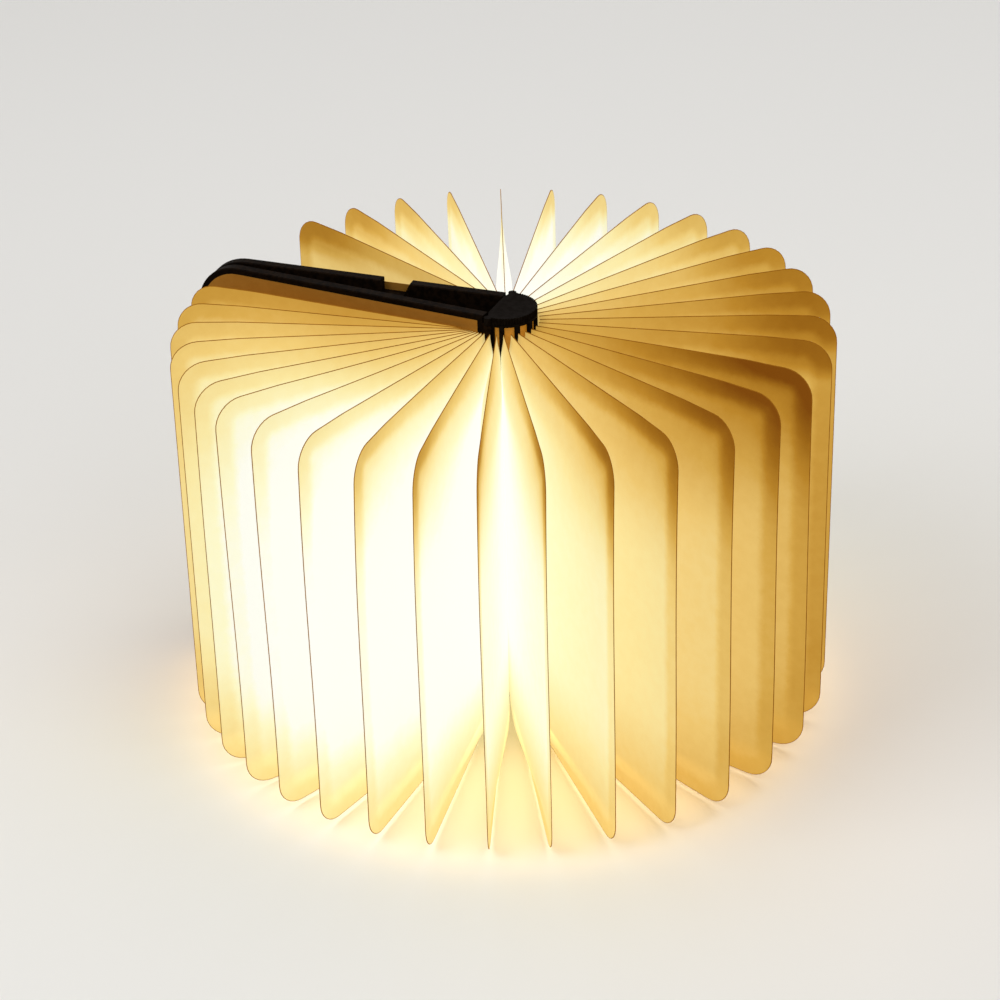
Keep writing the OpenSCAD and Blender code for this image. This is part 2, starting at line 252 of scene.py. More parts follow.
class SharedGroups:
    """The shader groups that several finishes place, each built once."""

    def __init__(self) -> None:
        """Build every group."""
        self.page_edge = self.build_page_edge()
        self.fibre = self.build_fibre()
        self.grain = self.build_grain()
        self.wear = self.build_wear()

    @staticmethod
    def build_page_edge() -> bpy.types.NodeTree:
        """Build the distance in from a page's top, fore edge and bottom.

        Returns:
            The group. It reads the page's own flat place, in metres, from its UV.
        """
        nodes, source, sink = new_group(
            "page edge", {"Width": FLOAT, "Height": FLOAT, "Corner": FLOAT},
            {"Distance": FLOAT, "Out": FLOAT, "Up": FLOAT})
        split = nodes.add("ShaderNodeSeparateXYZ")
        nodes.wire(nodes.add("ShaderNodeUVMap").outputs["UV"], split.inputs[0])
        out, up = split.outputs["X"], split.outputs["Y"]
        corner = source.outputs["Corner"]
        half = nodes.math("MULTIPLY", source.outputs["Height"], 0.5)
        qx = nodes.math("SUBTRACT", out, nodes.math("SUBTRACT", source.outputs["Width"], corner))
        qy = nodes.math("SUBTRACT", nodes.math("ABSOLUTE", nodes.math("SUBTRACT", up, half)),
                        nodes.math("SUBTRACT", half, corner))
        over = nodes.add("ShaderNodeCombineXYZ")
        nodes.wire(nodes.math("MAXIMUM", qx, 0.0), over.inputs["X"])
        nodes.wire(nodes.math("MAXIMUM", qy, 0.0), over.inputs["Y"])
        length = nodes.vector("LENGTH", over.outputs[0]).outputs["Value"]
        inside = nodes.math("MINIMUM", nodes.math("MAXIMUM", qx, qy), 0.0)
        nodes.wire(nodes.math("SUBTRACT", corner, nodes.math("ADD", length, inside)), sink.inputs["Distance"])
        nodes.wire(nodes.math("DIVIDE", out, source.outputs["Width"]), sink.inputs["Out"])
        nodes.wire(nodes.math("DIVIDE", up, source.outputs["Height"]), sink.inputs["Up"])
        return nodes.tree

    @staticmethod
    def build_fibre() -> bpy.types.NodeTree:
        """Build paper fibre.

        Returns:
            The group, with a height for bump and a cloudy mask.
        """
        nodes, source, sink = new_group("paper fibre", {"Scale": FLOAT}, {"Height": FLOAT, "Cloud": FLOAT})
        place = nodes.add("ShaderNodeTexCoord").outputs["Object"]
        scaled = nodes.vector("SCALE", place)
        nodes.wire(source.outputs["Scale"], scaled.inputs["Scale"])
        fine = nodes.noise(scaled.outputs[0], scale=1600.0, detail=4.0, roughness=0.6)
        coarse = nodes.noise(scaled.outputs[0], scale=160.0, detail=5.0, roughness=0.62)
        nodes.wire(nodes.math("ADD", nodes.math("MULTIPLY", fine, 0.5), nodes.math("MULTIPLY", coarse, 0.5)),
                   sink.inputs["Height"])
        nodes.wire(nodes.smooth(coarse, 0.3, 0.7), sink.inputs["Cloud"])
        return nodes.tree

    @staticmethod
    def build_grain() -> bpy.types.NodeTree:
        """Build a fine irregular pebble grain.

        Returns:
            The group, with a height for bump and a mask of the hollows.
        """
        nodes, source, sink = new_group("pebble grain", {"Size": FLOAT}, {"Height": FLOAT, "Hollow": FLOAT})
        place = nodes.add("ShaderNodeTexCoord").outputs["Object"]
        cells = nodes.add("ShaderNodeTexVoronoi", feature="F1")
        bent = nodes.vector("ADD", place)
        wobble = nodes.add("ShaderNodeTexNoise")
        nodes.wire(place, wobble.inputs["Vector"])
        wobble.inputs["Scale"].default_value = 500.0
        push = nodes.vector("SCALE", wobble.outputs["Color"])
        push.inputs["Scale"].default_value = 0.6*MM
        nodes.wire(push.outputs[0], bent.inputs[1])
        nodes.wire(bent.outputs[0], cells.inputs["Vector"])
        nodes.wire(nodes.math("DIVIDE", 1.0, source.outputs["Size"]), cells.inputs["Scale"])
        nodes.wire(nodes.math("SUBTRACT", 1.0, cells.outputs["Distance"]), sink.inputs["Height"])
        nodes.wire(nodes.smooth(cells.outputs["Distance"], 0.45, 0.8), sink.inputs["Hollow"])
        return nodes.tree

    @staticmethod
    def build_wear() -> bpy.types.NodeTree:
        """Build handling wear.

        Returns:
            The group, with a mask along convex edges, broken up by noise, and one of smudges.
        """
        nodes, source, sink = new_group("edge wear", {"Amount": FLOAT}, {"Edge": FLOAT, "Smudge": FLOAT})
        place = nodes.add("ShaderNodeTexCoord").outputs["Object"]
        point = nodes.add("ShaderNodeNewGeometry").outputs["Pointiness"]
        edge = nodes.smooth(point, 0.51, 0.58)
        broken = nodes.smooth(nodes.noise(place, scale=420.0, detail=4.0), 0.38, 0.62)
        nodes.wire(nodes.math("MULTIPLY", nodes.math("MULTIPLY", edge, broken), source.outputs["Amount"]),
                   sink.inputs["Edge"])
        smudges = nodes.noise(place, scale=45.0, detail=5.0, roughness=0.6)
        nodes.wire(nodes.smooth(smudges, 0.35, 0.7), sink.inputs["Smudge"])
        return nodes.tree


# ----------------------------------------------------------------------------
# Finishes

def start_material(name: str) -> tuple[bpy.types.Material, Nodes, bpy.types.Node]:
    """Make a node material with a Principled shader on its output.

    Args:
        name: The material's name.

    Returns:
        The material, its wiring helper and the shader.
    """
    material = bpy.data.materials.new(name)
    material.use_nodes = True
    nodes = Nodes(material.node_tree)
    shader = nodes.add("ShaderNodeBsdfPrincipled")
    nodes.wire(shader.outputs[0], nodes.add("ShaderNodeOutputMaterial").inputs["Surface"])
    return material, nodes, shader


def add_bump(nodes: Nodes, shader: bpy.types.Node, height: bpy.types.NodeSocket, depth: float,
             strength: float = 1.0) -> None:
    """Feed a shader's normal from a height.

    Args:
        nodes: The material's wiring helper.
        shader: The shader to feed.
        height: The height, from 0 to 1.
        depth: The real depth in metres.
        strength: How strongly the bump shows.
    """
    bump = nodes.add("ShaderNodeBump")
    bump.inputs["Distance"].default_value = depth
    bump.inputs["Strength"].default_value = strength
    nodes.wire(height, bump.inputs["Height"])
    nodes.wire(bump.outputs["Normal"], shader.inputs["Normal"])


@dataclass(frozen=True)
class LitPaper:
    """Thin paper lit from behind: amber where little light reaches it, nearly white where most does.

    Its colour and glow are painted light, and its bonded margin gets more painted shade, least at the foot and near
    the root. The mesh's "lit" attribute says how much light reaches a point.
    """

    width: float
    height: float
    corner: float
    margin: float
    name: str = "lit leaf paper"
    blur: float = 3*MM
    waviness: float = 0.6*MM
    margin_shade: float = 0.11
    clouding: float = 0.02
    body: float = 0.42
    glow: float = 0.62
    foot_fade: tuple[float, float, float, float] = (0.03, 0.2, 0.35, 1.0)
    root_fade: tuple[float, float, float, float] = (0.02, 0.5, 0.3, 1.0)
    roughness: tuple[float, float] = (0.8, 0.92)
    shine: float = 0.05
    fibre_depth: float = 0.12*MM

    def tones(self, nodes: Nodes, tone: bpy.types.NodeSocket, share: float) -> bpy.types.NodeSocket:
        """Colour the paper by how bright it is.

        Args:
            nodes: The material's wiring helper.
            tone: How bright the paper looks, from 0 to 1.
            share: What every colour is multiplied by.

        Returns:
            The colour.
        """
        stops = ((0.0, (0.22, 0.07, 0.004)), (0.15, (0.36, 0.155, 0.011)), (0.3, (0.53, 0.27, 0.03)),
                 (0.45, (0.71, 0.44, 0.09)), (0.6, (0.89, 0.65, 0.22)), (0.75, (0.98, 0.85, 0.43)),
                 (0.88, (1.0, 0.97, 0.66)), (1.0, (1.0, 1.0, 0.93)))
        return nodes.ramp(tone, *((at, tuple(c*share for c in colour)) for at, colour in stops))

    def build(self, groups: SharedGroups) -> bpy.types.Material:
        """Build the material.

        Args:
            groups: The shared shader groups.

        Returns:
            The material.
        """
        material, nodes, shader = start_material(self.name)
        page = nodes.group(groups.page_edge, Width=self.width, Height=self.height, Corner=self.corner)
        fibre = nodes.group(groups.fibre, Scale=1.0)
        lit = nodes.add("ShaderNodeAttribute", attribute_name="lit").outputs["Fac"]
        wavy = nodes.math("MULTIPLY_ADD", fibre.outputs["Cloud"], self.waviness, page.outputs["Distance"])
        # Painted shade: the bonded margin is darkened by margin_shade, fading out at the foot and near the root.
        margin = nodes.smooth(wavy, self.margin - self.blur, self.margin + self.blur, self.margin_shade, 0.0)
        margin = nodes.math("MULTIPLY", margin, nodes.smooth(page.outputs["Up"], *self.foot_fade))
        margin = nodes.math("MULTIPLY", margin, nodes.smooth(page.outputs["Out"], *self.root_fade))
        tone = nodes.math("SUBTRACT", lit, margin)
        tone = nodes.math("MULTIPLY_ADD", nodes.math("SUBTRACT", fibre.outputs["Cloud"], 0.5), self.clouding, tone)
        # Painted light: base colour and emission both follow the painted light tone, so the paper glows as the LEDs'
        # light through it would.
        nodes.wire(self.tones(nodes, tone, self.body), shader.inputs["Base Color"])
        nodes.wire(self.tones(nodes, tone, 1.0), shader.inputs["Emission Color"])
        shader.inputs["Emission Strength"].default_value = self.glow
        nodes.wire(nodes.smooth(fibre.outputs["Height"], 0.3, 0.7, *self.roughness), shader.inputs["Roughness"])
        shader.inputs["Specular IOR Level"].default_value = self.shine
        add_bump(nodes, shader, fibre.outputs["Height"], self.fibre_depth, 0.35)
        return material


@dataclass(frozen=True)
class PlainPaper:
    """Paper or board that little light passes through, such as the leaves' cut edge in its painted shade; its glow is
    painted light.
    """

    name: str
    colour: Rgb
    spot: Rgb
    glow: float = 0.0
    roughness: float = 0.8
    shine: float = 0.06
    fibre_depth: float = 0.1*MM

    def build(self, groups: SharedGroups) -> bpy.types.Material:
        """Build the material.

        Args:
            groups: The shared shader groups.

        Returns:
            The material.
        """
        material, nodes, shader = start_material(self.name)
        fibre = nodes.group(groups.fibre, Scale=1.0)
        tint = nodes.mix(fibre.outputs["Cloud"], (*self.colour, 1.0), (*self.spot, 1.0))
        nodes.wire(tint, shader.inputs["Base Color"])
        nodes.wire(tint, shader.inputs["Emission Color"])
        shader.inputs["Emission Strength"].default_value = self.glow
        shader.inputs["Roughness"].default_value = self.roughness
        shader.inputs["Specular IOR Level"].default_value = self.shine
        add_bump(nodes, shader, fibre.outputs["Height"], self.fibre_depth, 0.3)
        return material


@dataclass(frozen=True)
class Cloth:
    """Dark grained cover cloth, with painted shade in the grain's hollows, a little paler along its convex edges."""

    name: str
    colour: Rgb
    worn: Rgb
    grain: float = 0.5*MM
    grain_depth: float = 0.06*MM
    hollows: float = 0.45
    wear: float = 0.7
    roughness: float = 0.7
    smoothed: float = 0.1
    shine: float = 0.02

    def build(self, groups: SharedGroups) -> bpy.types.Material:
        """Build the material.

        Args:
            groups: The shared shader groups.

        Returns:
            The material.
        """
        material, nodes, shader = start_material(self.name)
        grain = nodes.group(groups.grain, Size=self.grain)
        wear = nodes.group(groups.wear, Amount=self.wear)
        # Painted shade: the grain's hollows are darkened to hollows times the colour.
        hollow = nodes.mix(nodes.math("MULTIPLY", grain.outputs["Hollow"], 0.5), (*self.colour, 1.0),
                           (*(c*self.hollows for c in self.colour), 1.0))
        tint = nodes.mix(wear.outputs["Edge"], hollow, (*self.worn, 1.0))
        nodes.wire(tint, shader.inputs["Base Color"])
        rough = nodes.math("MULTIPLY_ADD", wear.outputs["Smudge"], -self.smoothed, self.roughness)
        nodes.wire(rough, shader.inputs["Roughness"])
        shader.inputs["Specular IOR Level"].default_value = self.shine
        add_bump(nodes, shader, grain.outputs["Height"], self.grain_depth, 0.35)
        return material


@dataclass(frozen=True)
class Moulded:
    """Moulded plastic or lacquer with a fine texture."""

    name: str
    colour: Rgb
    roughness: float = 0.4
    shine: float = 0.45
    coat: float = 0.0
    grain: float = 0.45*MM
    grain_depth: float = 0.03*MM
    wear: float = 0.35
    smudged: float = 0.12
    glow: Rgb | None = None
    glow_strength: float = 0.0

    def build(self, groups: SharedGroups) -> bpy.types.Material:
        """Build the material.

        Args:
            groups: The shared shader groups.

        Returns:
            The material.
        """
        material, nodes, shader = start_material(self.name)
        wear = nodes.group(groups.wear, Amount=self.wear)
        grain = nodes.group(groups.grain, Size=self.grain)
        pale = tuple(min(1.0, c*1.8 + 0.006) for c in self.colour)
        nodes.wire(nodes.mix(wear.outputs["Edge"], (*self.colour, 1.0), (*pale, 1.0)), shader.inputs["Base Color"])
        nodes.wire(nodes.math("MULTIPLY_ADD", wear.outputs["Smudge"], self.smudged, self.roughness - 0.05),
                   shader.inputs["Roughness"])
        shader.inputs["Specular IOR Level"].default_value = self.shine
        shader.inputs["Coat Weight"].default_value = self.coat
        if self.glow is not None:
            shader.inputs["Emission Color"].default_value = (*self.glow, 1.0)
            shader.inputs["Emission Strength"].default_value = self.glow_strength
        add_bump(nodes, shader, grain.outputs["Height"], self.grain_depth, 0.3)
        return material


@dataclass(frozen=True)
class Metal:
    """Ground, plated or rolled metal."""

    name: str
    colour: Rgb
    roughness: float = 0.3
    line_roughness: float = 0.18
    line_depth: float = 0.01*MM
    lines_per_metre: float = 5200.0
    drawn_out: float = 0.04
    wear: float = 0.5
    worn_shade: float = 0.86

    def build(self, groups: SharedGroups) -> bpy.types.Material:
        """Build the material.

        Args:
            groups: The shared shader groups.

        Returns:
            The material.
        """
        material, nodes, shader = start_material(self.name)
        wear = nodes.group(groups.wear, Amount=self.wear)
        place = nodes.add("ShaderNodeTexCoord").outputs["Object"]
        stretched = nodes.vector("MULTIPLY", place, (1.0, 1.0, self.drawn_out))
        lines = nodes.noise(stretched.outputs[0], self.lines_per_metre, 2.0)
        worn = (c*self.worn_shade for c in self.colour)
        nodes.wire(nodes.mix(wear.outputs["Smudge"], (*self.colour, 1.0), (*worn, 1.0)), shader.inputs["Base Color"])
        shader.inputs["Metallic"].default_value = 1.0
        nodes.wire(nodes.math("MULTIPLY_ADD", lines, self.line_roughness, self.roughness - self.line_roughness/2),
                   shader.inputs["Roughness"])
        add_bump(nodes, shader, lines, self.line_depth, 0.3)
        return material


Finish = PlainPaper | Cloth | Moulded | Metal


# ----------------------------------------------------------------------------
# Leaves

SHEET, RIM = 0, 1


class Side(Enum):
    """A side of the closed book."""

    FRONT = "front"
    BACK = "back"


@dataclass
class LeafPlace:
    """Where a leaf's solid stands in plan at rest."""

    root: Vector
    angle: float
    width: float
    low: float
    high: float

    @classmethod
    def read(cls, solid: bpy.types.Object) -> "LeafPlace":
        """Measure a leaf's solid.

        Args:
            solid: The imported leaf.

        Returns:
            Its root in plan, its direction in radians, its width and its two heights.
        """
        end_band, passes = 0.3*MM, 4
        points = [v.co for v in solid.data.vertices]
        low, high = min(p.z for p in points), max(p.z for p in points)
        plan = [Vector((p.x, p.y)) for p in points]
        far = max(plan, key=lambda p: p.length)
        near = min(plan, key=lambda p: p.length)
        along = (far - near).normalized()
        for _ in range(passes):
            across = Vector((-along.y, along.x))
            tip_at = max(p.dot(along) for p in plan)
            root_at = min(p.dot(along) for p in plan)
            tips = [p.dot(across) for p in plan if p.dot(along) > tip_at - end_band]
            roots = [p.dot(across) for p in plan if p.dot(along) < root_at + end_band]
            tip = along*tip_at + across*(min(tips) + max(tips))*0.5
            root = along*root_at + across*(min(roots) + max(roots))*0.5
            along = (tip - root).normalized()
        return cls(root, math.atan2(along.y, along.x), (tip - root).length, low, high)

    def along(self) -> Vector:
        """Return the leaf's direction in plan, out from the core."""
        return Vector((math.cos(self.angle), math.sin(self.angle)))

    def across(self) -> Vector:
        """Return the direction square to the leaf in plan."""
        return Vector((-math.sin(self.angle), math.cos(self.angle)))

    def at(self, u: float) -> Vector:
        """Return the place in plan at a distance from the root."""
        return self.root + self.along()*u

    def off_plane(self, place: Vector) -> float:
        """Return how far a place in plan stands off the leaf's plane."""
        return abs((place - self.root).dot(self.across()))


@dataclass
class LeafShape:
    """Sizes of the paper leaves, in metres.

    Attributes:
        corner: Radius of the outer corners.
        slope_l: Length next to the root along which the top edge slopes.
        slope_h: How far it slopes down.
        rim: Width of the darkened edge.
        rim_half: Half the leaf's thickness at the very edge.
        field_half: Half its thickness where the two sheets are bonded.
        margin: Width of the bonded margin.
        taper: How far each sheet stands off per metre in from the margin.
        blend_power: How closely the pocket follows the tighter of its taper and its room.
        room_share: How much of the half way to the next leaf a pocket fills.
        split_share: The same between the two middle leaves, where only one of them may close.
        end_room: Room of the last leaves beside the covers.
        shut: How far in from its top and foot the pocket stays shut, at the root and what the fore edge adds.
        flare: The height over which it opens, at the root and what the fore edge adds.
        quicker: How much less of that height it takes at its foot.
        closed_share: The share of its thickness meant to be left when the book is closed; not used.
        sway: How far the paper waves, the part that all leaves share and the part that alternates.
        phase: What the alternating part's phase gains from leaf to leaf, and its phase at the middle of the book.
        lean: How far its middle leans.
        sway_power: How steeply both grow towards the fore edge.
        curled: How far single leaves' outer top corners curl.
        columns: Columns of the mesh up to the corner.
        corner_steps: Columns round the corner.
        rows: Rows of the mesh.
    """

    corner: float = 14*MM
    slope_l: float = 110*MM
    slope_h: float = 4.5*MM
    rim: float = 0.3*MM
    rim_half: float = 0.14*MM
    field_half: float = 0.18*MM
    margin: float = 9*MM
    taper: float = 0.055
    blend_power: float = 4.0
    room_share: float = 0.96
    split_share: float = 0.78
    end_room: float = 0.5*MM
    shut: tuple[float, float] = (0.8*MM, 6.5*MM)
    flare: tuple[float, float] = (12*MM, 9*MM)
    quicker: float = 8*MM
    closed_share: float = 0.07
    sway: tuple[float, float] = (0.5*MM, 0.3*MM)
    phase: tuple[float, float] = (0.5, 0.4)
    lean: float = -0.5*MM
    sway_power: float = 1.6
    curled: dict[str, float] = field(default_factory=lambda: {
        "leaf_front_01": -2.6*MM, "leaf_front_08": 1.2*MM, "leaf_front_09": 2.4*MM, "leaf_front_11": -2.6*MM,
        "leaf_front_12": -4.4*MM})
    columns: int = 26
    corner_steps: int = 8
    rows: int = 48


@dataclass
class Room:
    """Space that a leaf may swell into on one side: half the way to the next leaf, at the root and at the fore edge."""

    near: float
    far: float

    @classmethod
    def between(cls, leaf: LeafPlace, other: LeafPlace, share: float) -> "Room":
        """Measure the room towards another leaf.

        Args:
            leaf: The leaf that swells.
            other: The next leaf.
            share: How much of the half way it may fill.

        Returns:
            The room.
        """
        ends = [min(other.off_plane(leaf.at(u)), leaf.off_plane(other.at(u))) for u in (0.0, leaf.width)]
        return cls(ends[0]*0.5*share, ends[1]*0.5*share)

    def at(self, out: float) -> float:
        """Return the room at a share of the leaf's width."""
        return self.near + (self.far - self.near)*out


def ease(value: float) -> float:
    """Return value brought between 0 and 1 with soft ends."""
    value = min(max(value, 0.0), 1.0)
    return value*value*(3.0 - 2.0*value)


@dataclass(frozen=True)
class Ramp:
    """A soft step from 0 at start to 1 at end."""

    start: float
    end: float

    def at(self, value: float) -> float:
        """Return the step's height at a value."""
        return ease((value - self.start)/(self.end - self.start))


@dataclass(frozen=True)
class Falloff:
    """Light that falls off from floor + gain to floor with an angle in degrees."""

    floor: float
    gain: float
    width: float
    power: float

    def at(self, angle: float) -> float:
        """Return the light at an angle."""
        return self.floor + self.gain*math.exp(-(abs(angle)/self.width)**self.power)


@dataclass(frozen=True)
class PageLight:
    """How the lamp's light spreads over the sheets, as tones from 0 to 1.

    Angles are in degrees from the lamp's nose, negative in front. Places on a page are shares of its width and height,
    and other lengths are in metres.
    """

    leds_at: float = 90.0
    half_valley: float = 5.0
    front_covers: Falloff = Falloff(0.3, 0.85, 72.0, 2.5)
    front_nose: Falloff = Falloff(0.47, 0.61, 54.0, 2.0)
    back_covers: Falloff = Falloff(0.42, 0.61, 70.0, 4.0)
    back_nose: Falloff = Falloff(0.48, 0.55, 46.0, 2.0)
    root_gain: float = 1.08
    width_loss: float = 0.1
    widthwise: Ramp = Ramp(0.0, 0.9)
    foot_shade: float = 0.32
    foot: Ramp = Ramp(0.32, -0.03)
    turning_left: Ramp = Ramp(-62.0, -112.0)
    outer: Ramp = Ramp(0.1, 0.85)
    crown_shade: tuple[float, float] = (0.3, -0.2)
    crown: Ramp = Ramp(0.6, 1.04)
    crown_power: float = 1.3
    covers_gain: float = 0.14
    near_covers: Ramp = Ramp(-125.0, -160.0)
    covers_crown: Ramp = Ramp(0.7, 1.0)
    cap_shade: float = 0.52
    under_cap: Ramp = Ramp(0.84, 1.02)
    # Painted shade at the front sheets' outer top corners, running out along both edges.
    corner_shade_depth: tuple[float, float, float] = (0.22, 0.16, -0.28)
    corner_shade_deeper: Ramp = Ramp(-35.0, -60.0)
    corner_shade_width: tuple[float, float] = (12*MM, 6*MM)
    corner_shade_wider: Ramp = Ramp(-30.0, -70.0)
    corner_shade_narrows: Ramp = Ramp(0.0, 70*MM)
    corner_shade_reach: float = 55*MM
    tip_shade: float = 0.22
    tip_out: Ramp = Ramp(0.5, 0.9)
    tip_up: Ramp = Ramp(22*MM, 11*MM)
    back_crown_shade: float = 0.06
    back_crown: Ramp = Ramp(0.88, 1.02)

    def reached(self, turned: float) -> float:
        """Return how much light reaches the middle of a sheet.

        Args:
            turned: Where its valley points.

        Returns:
            The tone, highest beside the lamp's two rows of LEDs.
        """
        past = abs(turned) - self.leds_at
        if turned < 0:
            return (self.front_covers if past > 0 else self.front_nose).at(past)
        return (self.back_covers if past > 0 else self.back_nose).at(past)

    def corner_shade(self, turned: float, in_from_fore: float, in_from_top: float) -> float:
        """Return the shade of a front sheet's outer top corner, which runs out along both edges.

        Args:
            turned: Where its valley points.
            in_from_fore: Distance from the fore edge.
            in_from_top: Distance from the top.

        Returns:
            How much darker the point is.
        """
        near, far = sorted((abs(in_from_fore), abs(in_from_top)))
        width = self.corner_shade_width[0] + self.corner_shade_width[1]*self.corner_shade_wider.at(turned)
        width *= 1.0 - 0.5*self.corner_shade_narrows.at(far)
        base, deeper, lefter = self.corner_shade_depth
        depth = base + deeper*self.corner_shade_deeper.at(turned) + lefter*self.turning_left.at(turned)
        return depth*math.exp(-(near/width)**2 - (far/self.corner_shade_reach)**2)

    def front_crown(self, turned: float, full: float, out: float, up: float) -> float:
        """Return the shade along a front sheet's top.

        Args:
            turned: Where its valley points.
            full: The light at its middle.
            out: Share of the width.
            up: Share of the height.

        Returns:
            How much darker the point is, negative near the covers, where the top is brighter.
        """
        outer = self.outer.at(out)
        shade = self.crown_shade[0] + self.crown_shade[1]*self.turning_left.at(turned)
        crown = outer*shade*self.crown.at(up)**self.crown_power
        crown -= outer*self.covers_gain*self.near_covers.at(turned)*self.covers_crown.at(up)
        return crown + (1.0 - outer)*self.cap_shade*full*full*self.under_cap.at(up)

    def back_tip(self, out: float, up: float, in_from_top: float) -> float:
        """Return the shade of a back sheet's outer top corner and along its top.

        Args:
            out: Share of the width.
            up: Share of the height.
            in_from_top: Distance from the top.

        Returns:
            How much darker the point is.
        """
        tip = self.tip_shade*self.tip_out.at(out)*self.tip_up.at(in_from_top)
        return tip + self.back_crown_shade*self.back_crown.at(up)

    def at(self, turned: float, u: float, v: float, width: float, height: float) -> float:
        """Return how much light reaches a point of a sheet.

        Args:
            turned: Where its valley points.
            u: Distance from the root.
            v: Height above the foot.
            width: The leaf's width.
            height: The leaf's height.

        Returns:
            The tone.
        """
        full = self.reached(turned)
        out, up = max(u, 0.0)/width, v/height
        if turned < 0:
            shade = self.front_crown(turned, full, out, up) + self.corner_shade(turned, width - u, height - v)
        else:
            shade = self.back_tip(out, up, height - v)
        foot = self.foot_shade*full*full*self.foot.at(up)
        return full*(self.root_gain - self.width_loss*self.widthwise.at(out)) - shade - foot


class Leaf:
    """One double sheet of paper, in place of the leaf's solid: a pocket that opens wide towards the core."""

    def __init__(self, name: str, order: float, place: LeafPlace, shape: LeafShape, light: PageLight, span: float,
                 rooms: dict[int, Room]) -> None:
        """Keep what the leaf needs.

        Args:
            name: The solid's name, which is its body's as well.
            order: The leaf's place in the closed book, 0 at the middle.
            place: Where it stands.
            shape: The shared sizes.
            light: The shared light.
            span: The largest order on either side.
            rooms: The room on its two sides, 1 being the side turned counter-clockwise in plan.
        """
        self.name = name
        self.order = order
        self.place = place
        self.shape = shape
        self.light = light
        self.span = span
        self.rooms = rooms
        self.height = place.high - place.low

    def bend(self, out: float, up: float) -> float:
        """Return how far the paper stands off its flat.

        Args:
            out: Share of the width.
            up: Share of the height.

        Returns:
            The distance to the counter-clockwise side.
        """
        s = self.shape
        share = self.order/(self.span + 1)
        room = 1.0 - share*share
        sway = (s.sway[0] + s.sway[1]*math.sin(s.phase[0]*self.order + s.phase[1]))*room
        curl = s.curled.get(self.name, 0.0)*max(up, 0.0)**2
        wave = sway*math.sin(2*math.pi*up) + s.lean*room*math.sin(math.pi*up)
        return out**s.sway_power*wave + out**2*curl

    def half(self, u: float, v: float, side: int) -> float:
        """Return how far one sheet stands off the middle of the pocket.

        Args:
            u: Distance from the root.
            v: Height above the foot.
            side: 1 or -1.

        Returns:
            The distance, growing from the bonded margin towards the core and shut along the top and the foot.
        """
        s = self.shape
        out = max(u, 0.0)/self.place.width
        taper = s.taper*(self.place.width - s.margin - u)
        if taper <= s.field_half:
            return s.field_half
        room = self.rooms[side].at(out)
        full = (taper**-s.blend_power + room**-s.blend_power)**(-1.0/s.blend_power)
        full = max(full, s.field_half)
        start = s.shut[0] + s.shut[1]*out
        reach = s.flare[0] + s.flare[1]*out
        swell = ease((self.top(u, 0.0) - v - start)/reach)*ease((v - start)/(reach - s.quicker))
        return s.field_half + (full - s.field_half)*swell

    def round_off(self, u: float, inset: float) -> float:
        """Return how far the outline stands in from a straight top or bottom.

        Args:
            u: Distance from the root.
            inset: How far the outline is brought in.

        Returns:
            The inset, growing round the corner.
        """
        s = self.shape
        if u <= self.place.width - s.corner:
            return inset
        reach = s.corner - inset
        du = min(u - (self.place.width - s.corner), reach)
        return s.corner - math.sqrt(max(reach*reach - du*du, 0.0))

    def top(self, u: float, inset: float) -> float:
        """Return the highest point of the outline.

        Args:
            u: Distance from the root.
            inset: How far the outline is brought in.

        Returns:
            The height above the foot.
        """
        return self.height - self.round_off(u, inset) - self.drop(u)

    def drop(self, u: float) -> float:
        """Return how far the top edge has sloped down at a distance from the root."""
        return self.shape.slope_h*max(1.0 - max(u, 0.0)/self.shape.slope_l, 0.0)

    def columns(self) -> list[float]:
        """Place the columns of the mesh, on the rim's inner line.

        Returns:
            Their distances from the root.
        """
        s = self.shape
        straight = self.place.width - s.corner
        inner = [straight*i/s.columns for i in range(s.columns + 1)]
        reach = s.corner - s.rim
        return inner + [straight + reach*math.sin(math.pi/2*(i + 1)/s.corner_steps) for i in range(s.corner_steps)]

    def outward(self, u: float) -> tuple[float, float]:
        """Return the outline's outward direction along its bottom.

        Args:
            u: Distance from the root.

        Returns:
            The direction's two shares, away from the root and up.
        """
        s = self.shape
        du = u - (self.place.width - s.corner)
        if du > 0:
            angle = math.asin(min(du/(s.corner - s.rim), 1.0))
            return math.sin(angle), -math.cos(angle)
        return 0.0, -1.0

    def point(self, u: float, v: float, side: int, half: float) -> Vector:
        """Return the place of a point of one sheet.

        Args:
            u: Distance from the root.
            v: Height above the foot.
            side: 1 or -1.
            half: How far it stands off the middle of the pocket.

        Returns:
            The place in space.
        """
        off = self.bend(max(u, 0.0)/self.place.width, v/self.height) + side*half
        flat = self.place.at(u) + self.place.across()*off
        return Vector((flat.x, flat.y, self.place.low + v))

    def lit(self, u: float, v: float, side: int) -> float:
        """Return how much light reaches a point of one sheet.

        Args:
            u: Distance from the root.
            v: Height above the foot.
            side: 1 or -1.

        Returns:
            The tone.
        """
        turned = math.degrees(self.place.angle) + side*self.light.half_valley
        return self.light.at(turned, u, v, self.place.width, self.height)

    def build(self) -> bpy.types.Object:
        """Build the leaf as one closed mesh: two sheets, their darkened rim and the mouth at the core.

        Returns:
            The piece.
        """
        mesh = LeafMesh(self)
        (rim_a, mouth_a), (rim_b, mouth_b) = [mesh.sheet(side) for side in (-1, 1)]
        mesh.strip(rim_b, rim_a, slot=RIM)
        mesh.strip(mouth_a, mouth_b, slot=SHEET)
        piece = bpy.data.objects.new(f"{self.name}_paper", mesh.finish(f"{self.name}_paper"))
        bpy.context.scene.collection.objects.link(piece)
        return piece

    def tie(self, piece: bpy.types.Object) -> None:
        """Make the built leaf ride its body in place of its hidden solid.

        Args:
            piece: The leaf's mesh.
        """
        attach(piece, self.name)
        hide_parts(self.name)
        across, root = self.place.across(), self.place.root
        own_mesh(piece)


